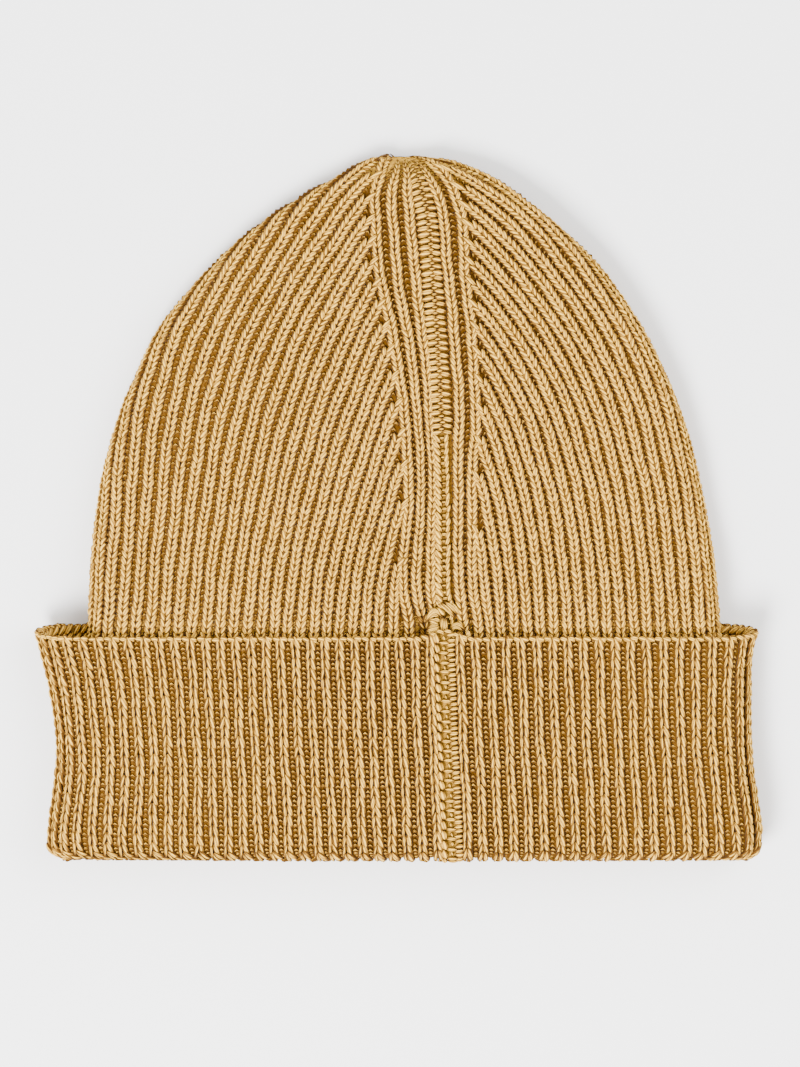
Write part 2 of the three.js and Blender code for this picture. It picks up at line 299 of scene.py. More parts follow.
def gather(x, y):
    """How far the ribs above the rim lean to the right, where the tack draws the crown together."""
    low = np.exp(-((y - CUFF_HEIGHT - GATHER_HEIGHT) / GATHER_REACH) ** 2)
    left = LEFT_SWEEP * np.exp(-((x - SEAM_X - LEFT_SWEEP_X) / SWEEP_REACH) ** 2)
    right = RIGHT_SWEEP * np.exp(-((x - SEAM_X - RIGHT_SWEEP_X) / SWEEP_REACH) ** 2)
    return (left + right) * low


def side_place(column, y, piled=False):
    """Where a column stands among the ribs of its side, how many of them live there, its own number and
    the columns of the panel beside the seam. Ribs that have ended pass under the one that runs on, or pile
    up beside it where the fabric needs it."""
    rise = (y - CUFF_HEIGHT) / CROWN_LENGTH
    column = column % COLUMNS
    own = np.where(column > RIB_COUNT, COLUMNS - column, column)
    left = column <= RIB_COUNT
    front = np.where(left, LEFT_PANEL, RIGHT_PANEL)
    upper = SIDE_RIBS * read_side(DECREASE_TABLE, left, rise, " upper")
    under = SIDE_RIBS * read_side(DECREASE_TABLE, left, rise, " under")
    live = (RIB_COUNT - UNDER_PANEL - front) / 2 - upper - under
    beside = (own - front) / 2
    across = (RIB_COUNT - UNDER_PANEL - own) / 2
    if piled:
        place = np.maximum(beside - upper, np.minimum(beside, PILE_PLACE))
        place = np.minimum(place, live - np.minimum(across, PILE_PLACE))
    else:
        place = np.where(beside <= RUN_ON, beside, np.maximum(beside - upper, UNDER_PLACE))
        place = np.where(across <= RUN_ON, live - across, np.minimum(place, live - UNDER_PLACE))
    return place, live, own, front


def crown_at(column, y, offset, piled=False):
    """Point and normal of the crown at a rib column, a height and an offset from its outer face."""
    column, y = np.broadcast_arrays(np.asarray(column, float), np.asarray(y, float))
    section = crown_section(y, offset)
    rise = (y - CUFF_HEIGHT) / CROWN_LENGTH
    place, live, own, front = side_place(column, y, piled)
    left = front == LEFT_PANEL
    line = read_side(LINE_TABLE, left, rise)
    near = np.minimum(line * front / (front + 1) / girth(section), WIDEST_PANEL)
    far = np.minimum(UNDER_PANEL_WIDTH / 2 / girth(section), WIDEST_PANEL)
    spread = clamp01(place / live)
    spread = spread - np.where(left, CLOSER, 0) * np.sin(2 * math.pi * spread) / (2 * math.pi)
    share = near + (0.5 - near - far) * spread
    share = np.where(own <= front, near * own / front, share)
    share = np.where(own >= RIB_COUNT - UNDER_PANEL, 0.5 - far * (RIB_COUNT - own) / UNDER_PANEL, share)
    share = np.where(left, share, 1 - share)
    x, z, nx, nz = point_round(section, share)
    top = np.maximum(nz, 0)
    moved = x + top * gather(x, y)
    lifted = z + top * (top_lift(x, y) - dent(x, y))
    return np.stack([moved, y, lifted], -1), np.stack([nx, 0 * nx, nz], -1)


# The cuff is followed from the bound edge down to the fold, round it, and up inside the mouth
BAND = CUFF_HEIGHT - ROLL_RADIUS
ROLL = math.pi * (ROLL_RADIUS - WALL / 2)
# The layer underneath stands past the one on top, and shows in the two corners. At the seam the tack pulls
# the bound edge towards the tip
BACK_RIM_RISE = 3.6
RIM_PULL = 2.6
RIM_PULL_REACH = 4.5
PULL_START = 0.8
# The ribs of the cuff stand a little closer on the left side than on the right. Where the cuff is wider than
# at half its height, its ribs stay parallel on top and spread between these shares of the way round
CROWDING = 0.05
FLARE_START = 0.1
FLARE_END = 0.4


def cuff_at(column, down, offset):
    """Point and normal of the cuff at a rib column, a way down from the bound edge, and an offset."""
    column, down = np.broadcast_arrays(np.asarray(column, float), np.asarray(down, float))
    turn = clamp01((down - BAND) / ROLL) * math.pi
    inside = np.maximum(down - BAND - ROLL, 0)
    reach = ROLL_RADIUS + offset
    y = np.where(down < BAND, CUFF_HEIGHT - down, ROLL_RADIUS - reach * np.sin(turn)) + inside
    outward = reach * np.cos(turn) - LAYER_GAP / 2
    round_way = 2 * math.pi * column / COLUMNS
    share = ((round_way - CROWDING * (1 - np.cos(round_way))) / (2 * math.pi)) % 1.0
    section = cuff_section(y, outward)
    even = girth(cuff_section(CUFF_HEIGHT / 2 + 0 * y, outward)) / girth(section)
    flare_left = smoothstep(share, FLARE_START, FLARE_END)
    flare_right = smoothstep(1 - share, FLARE_START, FLARE_END)
    flare = np.where(share < 0.5, flare_left, 2 - flare_right) / 2
    x, z, nx, nz = point_round(section, share * even + flare * (1 - even))
    deep = crown_section(y, -WALL - offset)
    far = inside > 0
    x, z, nx, nz = (np.where(far, *pair) for pair in zip(point_round(deep, share), (x, z, nx, nz)))
    past_roll = np.maximum((y - ROLL_RADIUS) / BAND, 0) * ~far
    near_seam = np.exp(-((x - SEAM_X) / RIM_PULL_REACH) ** 2)
    pull = RIM_PULL * near_seam * smoothstep(past_roll, PULL_START, 1)
    rim = BACK_RIM_RISE * (0.5 - nz / 2) * past_roll + pull * np.maximum(nz, 0)
    lift = top_lift(x, y) * np.maximum(nz, 0)
    normal = np.stack([nx * np.cos(turn), -np.sin(turn), nz * np.cos(turn)], -1)
    return np.stack([x, y + rim, z + lift], -1), normal


def finish_mesh(name, points, quads, triangles, deep, uv=None, bake_uv=None, tone=None):
    """One mesh object from arrays. Points are in the hat's own millimetres; uv has a row per corner."""
    points = points * MM + ORIGIN
    furthest = ORIGIN[1] + (TIP + TIP_SLACK) * MM
    points[:, 1] = np.clip(points[:, 1], ORIGIN[1] - FOLD_SLACK * MM, furthest)
    points[:, 2] = np.maximum(points[:, 2], 0.0)
    mesh = bpy.data.meshes.new(name)
    corners = np.concatenate([quads.ravel(), triangles.ravel()]).astype(np.int32)
    starts = np.concatenate([
        np.arange(len(quads)) * 4, len(quads) * 4 + np.arange(len(triangles)) * 3,
    ]).astype(np.int32)
    mesh.vertices.add(len(points))
    mesh.vertices.foreach_set("co", points.astype(np.float32).ravel())
    mesh.loops.add(len(corners))
    mesh.loops.foreach_set("vertex_index", corners)
    mesh.polygons.add(len(starts))
    mesh.polygons.foreach_set("loop_start", starts)
    mesh.update(calc_edges=True)
    for label, values in (("Yarn", uv), ("OFBake", bake_uv)):
        if values is not None:
            layer = mesh.uv_layers.new(name=label)
            layer.data.foreach_set("uv", values.astype(np.float32).ravel())
    # The deep attribute holds painted shade, which the wool turns into darker colour; tone is the yarn's own
    # uneven dye
    for label, values in (("deep", deep), ("tone", tone)):
        if values is not None:
            layer = mesh.attributes.new(label, "FLOAT", "POINT")
            layer.data.foreach_set("value", values.astype(np.float32))
    mesh.polygons.foreach_set("use_smooth", np.ones(len(starts), bool))
    mesh.validate()
    piece = bpy.data.objects.new(name, mesh)
    bpy.context.scene.collection.objects.link(piece)
    return piece


# How far a strand's pointed end stands past its last ring, in radii
POINT_REACH = 0.7
# The margin round each strand in the map that the bake uses, and how far the tone shifts the plies along
BAKE_MARGIN = 0.05
PLY_SHIFT = 7.3


class Strands:
    """Short lengths of yarn, each a closed tapered tube, gathered into one mesh."""

    def __init__(self, sides, rings):
        self.sides = sides
        self.rings = rings
        # A five-sided strand is turned so that one of its edges points up
        self.turn = 0.25 if sides == 5 else 0.5
        self.points, self.tones, self.lengths, self.painted_shades = [], [], [], []

    def add(self, centres, normals, radii, heights, tone, flat=1.0, shade=(0.25, 1.1), ends=0.4,
            twist=1):
        """centres is (count, rings, 3), radii and heights (count, rings), tone (count). The heights and radii
        give each point's depth below the fabric's face, which sets its painted shade: shade gives the depth
        at which the painted shade starts, and how much deeper it is darkest. The ends, where a stitch goes
        under the next, get more painted shade by a share. Twist is the hand of the plies."""
        axis = unit(np.gradient(centres, axis=1))
        across = unit(np.cross(axis, normals if normals.ndim == 3 else normals[:, None, :]))
        up = np.cross(across, axis)
        angle = (np.arange(self.sides) + self.turn) * 2 * math.pi / self.sides
        lift = flat * np.sin(angle)
        spread = across[:, :, None] * np.cos(angle)[:, None] + up[:, :, None] * lift[:, None]
        tube = centres[:, :, None] + spread * radii[:, :, None, None]
        first = centres[:, 0] - axis[:, 0] * radii[:, :1] * POINT_REACH
        last = centres[:, -1] + axis[:, -1] * radii[:, -1:] * POINT_REACH
        count = len(centres)
        body = tube.reshape(count, -1, 3)
        self.points.append(np.concatenate([first[:, None], body, last[:, None]], 1))
        # Painted shade: each point darkens with its depth below the fabric's face, and more near the strand's
        # ends, where it goes under the next
        height = heights[:, :, None] + radii[:, :, None] * lift
        height = np.concatenate([heights[:, :1], height.reshape(count, -1), heights[:, -1:]], 1)
        end = ends * np.abs(np.linspace(-1, 1, self.rings)) ** 5
        end = np.concatenate([[ends], np.repeat(end, self.sides), [ends]])
        self.painted_shades.append(clamp01((-height - shade[0]) / shade[1]) + end)
        self.tones.append(tone)
        self.lengths.append(twist * np.linalg.norm(np.diff(centres, axis=1), axis=-1).sum(1))

    def finish(self, name, slot, *replaced):
        """Makes one piece of all strands, with a map that runs along the yarn and one for the bake."""
        points, tones = np.concatenate(self.points), np.concatenate(self.tones)
        lengths = np.concatenate(self.lengths)
        sides, rings, count = self.sides, self.rings, len(points)
        each = points.shape[1]
        k, r = np.meshgrid(np.arange(sides), np.arange(rings - 1))
        k, r = k.ravel(), r.ravel()
        nxt = (k + 1) % sides
        quad = 1 + np.stack([r * sides + k, r * sides + nxt, (r + 1) * sides + nxt, (r + 1) * sides + k], 1)
        s = np.arange(sides)
        start = np.stack([0 * s, 1 + (s + 1) % sides, 1 + s], 1)
        base = 1 + (rings - 1) * sides
        end = np.stack([0 * s + each - 1, base + s, base + (s + 1) % sides], 1)
        tri = np.concatenate([start, end])
        shift = (np.arange(count) * each)[:, None, None]
        ring_v = (np.arange(rings) + 0.5) / rings
        quad_uv = np.stack([
            (np.stack([k, k + 1, k + 1, k], 1) + self.turn) / sides,
            np.stack([ring_v[r], ring_v[r], ring_v[r + 1], ring_v[r + 1]], 1),
        ], -1)
        u = s + self.turn
        first_v, last_v = 0 * s + ring_v[0], 0 * s + ring_v[-1]
        start_u, start_v = (u + 0.5, u + 1, u), (0 * s, first_v, first_v)
        end_u, end_v = (u + 0.5, u, u + 1), (0 * s + 1, last_v, last_v)
        start_uv = np.stack([np.stack(start_u, 1) / sides, np.stack(start_v, 1)], -1)
        end_uv = np.stack([np.stack(end_u, 1) / sides, np.stack(end_v, 1)], -1)
        tri_uv = np.concatenate([start_uv, end_uv])
        cells = math.ceil(math.sqrt(count))
        cell = np.stack([np.arange(count) % cells, np.arange(count) // cells], 1)[:, None, None, :]
        yarn, bake = [], []
        for part in (quad_uv, tri_uv):
            long = np.broadcast_to(part, (count,) + part.shape) * np.stack(
                [np.ones(count), lengths], 1)[:, None, None, :]
            shifted = long + np.stack([0 * tones, tones * PLY_SHIFT], 1)[:, None, None, :]
            yarn.append(shifted.reshape(-1, 2))
            flat_part = part - np.array([self.turn / sides, 0])
            placed = flat_part[None] * (1 - 2 * BAKE_MARGIN) + BAKE_MARGIN + cell
            bake.append((placed / cells).reshape(-1, 2))
        quads = (quad[None] + shift).reshape(-1, 4)
        triangles = (tri[None] + shift).reshape(-1, 3)
        painted_shades = np.concatenate(self.painted_shades).ravel()
        piece = finish_mesh(name, points.reshape(-1, 3), quads, triangles, painted_shades,
                            np.concatenate(yarn), np.concatenate(bake), np.repeat(tones, each))
        dress(piece, yarn_wool, slot, *replaced)


# Half the length over which a direction along a rib is measured
FRAME_STEP = 0.4


def frames_at(at, column, way):
    """Point, across, along, normal and rib pitch of a surface at rib columns. A rib is two columns wide, so
    the pitch is four times the distance between points a quarter column to each side."""
    point, normal = at(column, way, 0.0)
    along = unit(at(column, way + FRAME_STEP, 0.0)[0] - at(column, way - FRAME_STEP, 0.0)[0])
    across = unit(np.cross(along, normal))
    normal = np.cross(across, along)
    gap = at(column + 0.25, way, 0.0)[0] - at(column - 0.25, way, 0.0)[0]
    pitch = 4 * np.abs((gap * across).sum(-1))
    return point, across, along, normal, pitch


def place_points(frames, w, l, h):
    """Points that lie some way across, along and above each frame."""
    point, across, along, normal = frames[:4]
    return (point[:, None] + across[:, None] * w[:, :, None] + along[:, None] * l[:, :, None]
            + normal[:, None] * h[:, :, None])


def wanted(frames, least, keep):
    """The frames with room for a stitch, on the side of the hat that is being laid, and which they are."""
    mask = frames[4] > least
    if keep is not None:
        mask &= keep(frames[0], frames[3])
    return [values[mask] for values in frames], mask


def full(t, thin, power=0.7):
    """How thick a strand is along its length: full in the middle, and thin at its ends."""
    return thin + (1 - thin) * np.sin(math.pi * (0.08 + 0.84 * t)) ** power


rng = np.random.default_rng(11)
# How uneven the yarn is: its thickness as a share, and how high it lies, in millimetres
UNEVEN_SIZE = 0.06
UNEVEN_HEIGHT = 0.06


def rib_ways(at, column, start, end, pitch, phase=0.5):
    """Even steps of one stitch along a rib, the last of them with room for most of a stitch."""
    way = np.linspace(start, end, 260)
    points = at(np.full_like(way, column), way, 0.0)[0]
    length = np.concatenate([[0], np.cumsum(np.linalg.norm(np.diff(points, axis=0), axis=1))])
    stations = np.arange(phase * pitch, length[-1] - 0.3 * pitch, pitch)
    return np.interp(stations, length, way)


def crown_rib_end(column, start, end):
    """The height at which a rib runs into its decrease, or the given end."""
    way = np.linspace(start, end, 400)
    place, live, own, front = side_place(np.full_like(way, column), way)
    if own[0] <= front[0] + 1 or own[0] >= RIB_COUNT - UNDER_PANEL - 1:
        return end
    dead = (place < END_PLACE) | (place > live - END_PLACE)
    return way[np.argmax(dead)] if dead.any() else end


def gather_ribs(at, columns, start, end, pitch, clip=None):
    """Columns and ways of every stitch on a list of ribs, with its number along the rib."""
    found = []
    for column in columns:
        last = clip(column, start, end) if clip else end
        if last - start < pitch:
            continue
        ways = rib_ways(at, column, start, last, pitch, rng.uniform(0.35, 0.65))
        found.append(np.stack([np.full_like(ways, column), ways, np.arange(len(ways))], 1))
    return np.concatenate(found)


# A stitch grows no wider than it is on ribs of this pitch
WIDEST_STITCH = 4.4


def lay_legs(strands, at, stitches, course, shape, keep=None, painted_shade=None):
    """Lays the legs of each stitch. The last argument gives painted shade: how much darker the yarn is drawn
    at a point, as if it lay that much deeper.
    """
    column, way, number = stitches.T
    # Each rib wavers from side to side in two slow waves of its own
    wobble = 0.06 * np.sin(way * 0.21 + column * 2.3) + 0.04 * np.sin(way * 0.57 + column * 5.1)
    frames, mask = wanted(frames_at(at, column + wobble, way), shape["least"], keep)
    point, normal, pitch = frames[0], frames[3], frames[4]
    number = number[mask]
    count = len(number)
    t = np.linspace(0, 1, strands.rings)
    alternate = 1 + 0.05 * np.where(number % 2 == 0, 1, -1)
    tone = rng.random(count)
    for leg in shape["legs"]:
        size = alternate * rng.normal(1, UNEVEN_SIZE, count)
        lean = rng.normal(0, 0.09, count)
        foot, head = leg["foot"], leg["head"]
        w = foot[0] + (head[0] - foot[0]) * t ** leg.get("bow", 1.0)
        w = w[None] * np.minimum(pitch, WIDEST_STITCH)[:, None] + (lean[:, None] * (t[None] - 0.5)) * course
        l = (foot[1] + (head[1] - foot[1]) * t)[None] * course * np.ones((count, 1))
        h = leg["base"] + leg["arch"] * np.sin(math.pi * t) ** 0.8 - leg.get("tilt", 0.0) * (t - 0.5)
        h = h[None] - leg["round"] * (w / pitch[:, None]) ** 2 + rng.normal(0, 0.05, (count, 1))
        centres = place_points(frames, w, l, h)
        fit = np.minimum(1.0, pitch / leg["full"])
        radii = leg["radius"] * full(t, leg["thin"])[None] * (size * fit)[:, None]
        # Painted shade: the yarn is shaded as if it lay deeper where the last argument asks
        painted_shade_height = h if painted_shade is None else h - painted_shade(point)[:, None]
        strands.add(centres, normal, radii, painted_shade_height, tone * 0.6 + rng.random(count) * 0.4,
                    leg.get("flat", 1.0), shape.get("shade", (0.25, 1.1)), shape["ends"],
                    1 if foot[0] > 0 else -1)


# A leg's foot and head are shares of the rib's pitch across and of the course along. Its base, arch, tilt,
# round and radius are in millimetres: how deep it lies, how it arches and tilts, how round the rib is, and
# how thick it is. Thin says how thin its ends are, and full the pitch at which it has its full radius
CROWN_LEG = {"bow": 0.9, "base": -1.5, "arch": 0.85, "tilt": 0.5, "round": 2.5, "radius": 0.93, "thin": 0.4,
             "full": 4.1}
# A shape's ends is the share of painted shade at the ends of its legs, where they go under the next stitch,
# and its shade the depths over which painted shade comes on
V_CROWN = {"least": 0.8, "ends": 0.45, "legs": [
    {**CROWN_LEG, "foot": (-0.07, -0.68), "head": (-0.325, 0.68)},
    {**CROWN_LEG, "foot": (0.08, -0.68), "head": (0.315, 0.68)},
]}
V_CUFF = {"least": 1.0, "ends": 0.22, "legs": [
    {"foot": (0.14, -0.68), "head": (0.245, 0.66), "bow": 0.9, "base": -1.2, "arch": 0.5, "tilt": 0.3,
     "round": 3.0, "radius": 0.62, "thin": 0.6, "full": 4.2},
    {"foot": (-0.06, -0.68), "head": (-0.235, 0.64), "bow": 0.8, "base": -1.25, "arch": 0.5, "tilt": 0.4,
     "round": 2.6, "radius": 0.92, "thin": 0.6, "full": 4.2, "flat": 0.92},
]}


def lay_arcs(strands, at, stitches, shape, keep):
    """Small arches of yarn across the valley between two ribs."""
    column, way = stitches.T[:2]
    frames = wanted(frames_at(at, column, way), shape["least"], keep)[0]
    normal, pitch = frames[3:]
    count = len(pitch)
    t = np.linspace(-1, 1, strands.rings)
    w = shape["half"] * t[None] * pitch[:, None]
    l = shape["bend"] * (1 - t[None] ** 2) + shape["tilt"] * t[None] + rng.normal(0, 0.08, (count, 1))
    h = shape["base"] - shape["sag"] * t[None] ** 2 + rng.normal(0, UNEVEN_HEIGHT, (count, 1))
    centres = place_points(frames, w, l, h)
    fit = np.minimum(1.0, pitch / shape["full"])[:, None]
    radii = shape["radius"] * np.ones((count, strands.rings)) * rng.normal(1, UNEVEN_SIZE, (count, 1)) * fit
    # Painted shade by each arch's depth
    strands.add(centres, normal, radii, h, rng.random(count), 1.0, shape["shade"], 0.25)


# An arch's shade is the depth at which its painted shade starts, and how much deeper it is darkest
ARC_CROWN = {"least": 1.0, "full": 3.6, "half": 0.22, "bend": 0.75, "tilt": 0.25, "base": -1.6, "sag": 0.6,
             "radius": 0.46, "shade": (0.75, 1.5)}
ARC_CUFF = {"least": 1.0, "full": 3.6, "half": 0.2, "bend": -0.6, "tilt": 0.0, "base": -1.5, "sag": 0.7,
            "radius": 0.5, "shade": (0.72, 1.5)}


def lay_bars(strands, at, ways, bar):
    """One bar of yarn per way along a seam. A bar has its two ends, each across and along from the seam,
    its depth, how it arches, and its radius, all in millimetres."""
    frames = frames_at(at, np.zeros_like(ways), ways)
    normal, pitch = frames[3:]
    count = len(ways)
    t = np.linspace(0, 1, strands.rings)
    hump = np.sin(math.pi * t)
    w0, l0, w1, l1, base, arch, radius = bar
    shift = rng.normal(0, 0.1, (count, 2))
    fit = np.minimum(1.0, pitch / FULL_PITCH)[:, None]
    w = (w0 + (w1 - w0) * t[None]) * fit + shift[:, :1]
    l = l0 + (l1 - l0) * t[None] + shift[:, 1:]
    h = base + arch * hump[None] + rng.normal(0, UNEVEN_HEIGHT, (count, 1))
    centres = place_points(frames, w, l, h)
    radii = radius * full(t, 0.5)[None] * rng.normal(1, UNEVEN_SIZE, (count, 1)) * fit
    # Painted shade by each bar's depth
    strands.add(centres, normal, radii, h, rng.random(count), 1.0, (0.3, 1.1))


def grid_mesh(name, rings, painted_shades, closed, caps):
    """One closed skin from rings of equal length. Ends are closed by points, or the rings join up."""
    rows, width = len(rings), len(rings[0])
    points = np.concatenate(rings)
    # Painted shade for each ring, and the darkest for the two cap points
    deep = np.concatenate([np.broadcast_to(value, width) for value in painted_shades] + [np.ones(2 if caps else 0)])
    i, j = np.meshgrid(np.arange(rows if closed else rows - 1), np.arange(width), indexing="ij")
    i, j = i.ravel(), j.ravel()
    down, nxt = (i + 1) % rows, (j + 1) % width
    quads = np.stack([i * width + j, down * width + j, down * width + nxt, i * width + nxt], 1)
    triangles = np.zeros((0, 3), int)
    if caps:
        points = np.concatenate([points, np.array(caps)])
        s = np.arange(width)
        first, last = rows * width, rows * width + 1
        base = (rows - 1) * width
        triangles = np.concatenate([
            np.stack([0 * s + first, s, (s + 1) % width], 1),
            np.stack([0 * s + last, base + (s + 1) % width, base + s], 1),
        ])
    piece = finish_mesh(name, points, quads, triangles, deep)
    merge = piece.modifiers.new("merge", "WELD")
    merge.merge_threshold = 1e-6
    depsgraph = bpy.context.evaluated_depsgraph_get()
    welded = bpy.data.meshes.new_from_object(piece.evaluated_get(depsgraph))
    piece.modifiers.clear()
    piece.data = welded
    return piece


# The fabric has four points to a rib. Its ridges and the channel of the seam stand higher than its valleys,
# and get less painted shade
FINE = np.arange(0, COLUMNS, 0.5)
FROM_SEAM = np.minimum(FINE, COLUMNS - FINE)
RIDGE = (0.5 + 0.5 * np.cos(math.pi * FINE)) * (FROM_SEAM > 1.2)
CHANNEL = clamp01(1.6 - FROM_SEAM)
FABRIC_DEPTH = -2.1
FABRIC_RELIEF = 0.5
# How much higher the fabric lies in the bend of the fold
FOLD_SWELL = 0.6


def make_crown_fabric():
    """The knit behind the stitches: ribs outside, and the inside of the head hollow."""
    low_end = ROLL_RADIUS + 0.3

    def ring(y, base, relief):
        place, live, own, front = side_place(FINE, np.full_like(FINE, y), True)
        panel = (own <= front) | (own >= RIB_COUNT - UNDER_PANEL)
        left = np.where(panel, 1, clamp01(2 * np.minimum(place, live - place)))
        return crown_at(FINE, np.full_like(FINE, y), base + relief * (RIDGE * left + CHANNEL), True)[0]

    outer_rows = np.concatenate([np.linspace(low_end, CUFF_HEIGHT - 6, 6),
                                 np.linspace(CUFF_HEIGHT - 4, TIP - 8, 44),
                                 np.linspace(TIP - 7, TIP - 1.2, 8)])
    inner_rows = np.linspace(low_end, TIP - 7.5, 26)
    inner = [ring(y, -2.3, -0.3) for y in inner_rows[::-1]]
    outer = [ring(y, FABRIC_DEPTH, FABRIC_RELIEF) for y in outer_rows]
    # Painted shade: the fabric behind the stitches is drawn dark, the inside of the hollow less so, and with
    # less painted shade near the rim and near the tip
    painted_shades = [0.55 - 0.35 * RIDGE] * len(inner)
    for y in outer_rows:
        less_painted_shade = 0.45 * (abs(y - CUFF_HEIGHT) < 5) + 0.65 * smoothstep(y, TIP - 14, TIP - 5)
        painted_shades.append((1 - 0.1 * RIDGE - 0.35 * CHANNEL) * (1 - less_painted_shade))
    hollow_end = inner[0].mean(0) + np.array([0, 0.5, 0])
    outer_end = outer[-1].mean(0) + np.array([0, 0.4, 0])
    return grid_mesh("crown_fabric", inner + outer, painted_shades, False, [hollow_end, outer_end])


def make_cuff_fabric():
    """The knit behind the cuff's stitches, as one closed band rolled at the fold."""
    outer_ways = np.concatenate([np.linspace(0.8, BAND, 22), BAND + ROLL * np.linspace(0.15, 1, 8)])
    outer = []
    for down in outer_ways:
        depth = FABRIC_DEPTH + FOLD_SWELL * math.sin(math.pi * max(down - BAND, 0) / ROLL)
        offset = depth + FABRIC_RELIEF * (RIDGE + CHANNEL)
        outer.append(cuff_at(FINE, np.full_like(FINE, down), offset)[0])
    crease = [cuff_at(FINE, np.full_like(FINE, BAND + ROLL * 0.97), -WALL + 0.1)[0]]
    lining = [cuff_at(FINE, np.full_like(FINE, down), -2.35)[0] for down in np.linspace(BAND, 0.8, 12)]
    # Painted shade: the fabric behind the stitches is drawn dark, and the lining inside the mouth less so
    painted_shades = [1 - 0.1 * RIDGE - 0.5 * CHANNEL] * (len(outer) + 1) + [0.6 - 0.2 * RIDGE] * len(lining)
    return grid_mesh("cuff_fabric", (outer + crease + lining)[::-1], painted_shades[::-1], True, None)


# The wool's camel colour at the crest of a stitch, then painted shade down to the bottom of a gap
CAMEL_AND_PAINTED_SHADE = [
    (0.0, (0.90, 0.54, 0.075)),
    (0.2, (0.66, 0.37, 0.042)),
    (0.45, (0.39, 0.20, 0.024)),
    (0.72, (0.19, 0.085, 0.010)),
    (0.95, (0.085, 0.034, 0.004)),
]
SHEEN_TINT = (1.0, 0.9, 0.7, 1)
ROUGHNESS = 0.92
FIBRE_SCALE = 1800
FIBRE_RELIEF = 0.00025
# How uneven the dye is along a strand, and from strand to strand
MOTTLE = 0.45
DYE = 0.14
# How far the plies run on along a strand and wander, and how much painted shade lies in the grooves between
# them
PLY_RUN = 1.6
PLY_WANDER = 2.2
GROOVE_LEVEL = 0.7
GROOVE_SHADE = 0.6
# Where on its flanks a strand starts to take painted shade, and how fast
FLANK_START = 0.45
FLANK_SHADE = 1.3


def wool(name, colours, lines, strength, sheen):
    """Wool yarn: plies that run round each strand, uneven dye, soft fibres, and painted shade from the deep
    attribute, and on yarn with plies from its flanks and the grooves between plies.
    """
    material = bpy.data.materials.new(name)
    material.use_nodes = True
    nodes, links = material.node_tree.nodes, material.node_tree.links
    shader = nodes["Principled BSDF"]
    shader.inputs["Roughness"].default_value = ROUGHNESS
    shader.inputs["Specular IOR Level"].default_value = 0.08 if lines else 0.0
    shader.inputs["Sheen Weight"].default_value = sheen
    shader.inputs["Sheen Roughness"].default_value = 0.45
    shader.inputs["Sheen Tint"].default_value = SHEEN_TINT

    def node(operation, a, b=0):
        made = nodes.new("ShaderNodeMath")
        made.operation = operation
        for socket, value in zip(made.inputs, (a, b)):
            if isinstance(value, (int, float)):
                socket.default_value = value
            else:
                links.new(value, socket)
        return made.outputs[0]

    def attribute(label):
        made = nodes.new("ShaderNodeAttribute")
        made.attribute_name = label
        return made.outputs["Fac"]

    coords = nodes.new("ShaderNodeTexCoord")
    noise = nodes.new("ShaderNodeTexNoise")
    noise.inputs["Scale"].default_value = FIBRE_SCALE
    noise.inputs["Detail"].default_value = 3
    links.new(coords.outputs["Object"], noise.inputs["Vector"])
    fibres = noise.outputs["Fac"]
    height = fibres
    # Painted shade from the deep attribute, with the uneven dye of the fibres
    shade = node("ADD", attribute("deep"), node("MULTIPLY", node("SUBTRACT", fibres, 0.5), MOTTLE))
    if lines:
        yarn = nodes.new("ShaderNodeUVMap")
        yarn.uv_map = "Yarn"
        split = nodes.new("ShaderNodeSeparateXYZ")
        links.new(yarn.outputs["UV"], split.inputs[0])
        turned = node("MULTIPLY", split.outputs["X"], 2 * math.pi)
        around = node("MULTIPLY", turned, lines)
        along = node("MULTIPLY", split.outputs["Y"], PLY_RUN)
        phase = node("ADD", node("ADD", around, along), node("MULTIPLY", fibres, PLY_WANDER))
        ply = node("ADD", node("MULTIPLY", node("SINE", phase), 0.5), 0.5)
        height = node("ADD", ply, node("MULTIPLY", fibres, 0.5))
        dye = node("MULTIPLY", attribute("tone"), DYE)
        # Painted shade in the grooves between plies and on the strand's flanks
        groove_shade = node("MULTIPLY", node("SUBTRACT", GROOVE_LEVEL, ply), GROOVE_SHADE)
        side = node("SUBTRACT", node("ABSOLUTE", node("COSINE", turned)), FLANK_START)
        flank_shade = node("MULTIPLY", node("MAXIMUM", side, 0.0), FLANK_SHADE)
        shade = node("ADD", shade, node("ADD", node("ADD", dye, flank_shade), groove_shade))
    ramp = nodes.new("ShaderNodeValToRGB")
    stops = ramp.color_ramp.elements
    while len(stops) < len(colours):
        stops.new(0.5)
    for stop, (position, colour) in zip(stops, colours):
        stop.position = position
        stop.color = (*colour, 1)
    links.new(shade, ramp.inputs["Fac"])
    links.new(ramp.outputs["Color"], shader.inputs["Base Color"])
    bump = nodes.new("ShaderNodeBump")
    bump.inputs["Strength"].default_value = strength
    bump.inputs["Distance"].default_value = FIBRE_RELIEF
    links.new(height, bump.inputs["Height"])
    links.new(bump.outputs["Normal"], shader.inputs["Normal"])
    return material


yarn_wool = wool("camel_wool_yarn", CAMEL_AND_PAINTED_SHADE, 6, 0.6, 0.04)
deep_wool = wool("camel_wool_behind", CAMEL_AND_PAINTED_SHADE, 0, 0.5, 0.0)


def dress(piece, material, slot, *replaced):
    """Gives a piece its wool and the body it rides on, and hides the solids that it stands for. Its slot is
    not used.
    """
    piece.data.materials.clear()
    piece.data.materials.append(material)
    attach(piece, "root")
    if replaced:
        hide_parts(*replaced)
    return piece


# Which stitches face up, split into two pieces of like size left of the seam, and which face down
FACE_SPLIT = -0.3
SPLIT_X = SEAM_X - 20


def seen_left(point, normal):
    """Stitches of the top face and its edges, on the left."""
    return (normal[:, 2] > FACE_SPLIT) & (point[:, 0] < SPLIT_X)


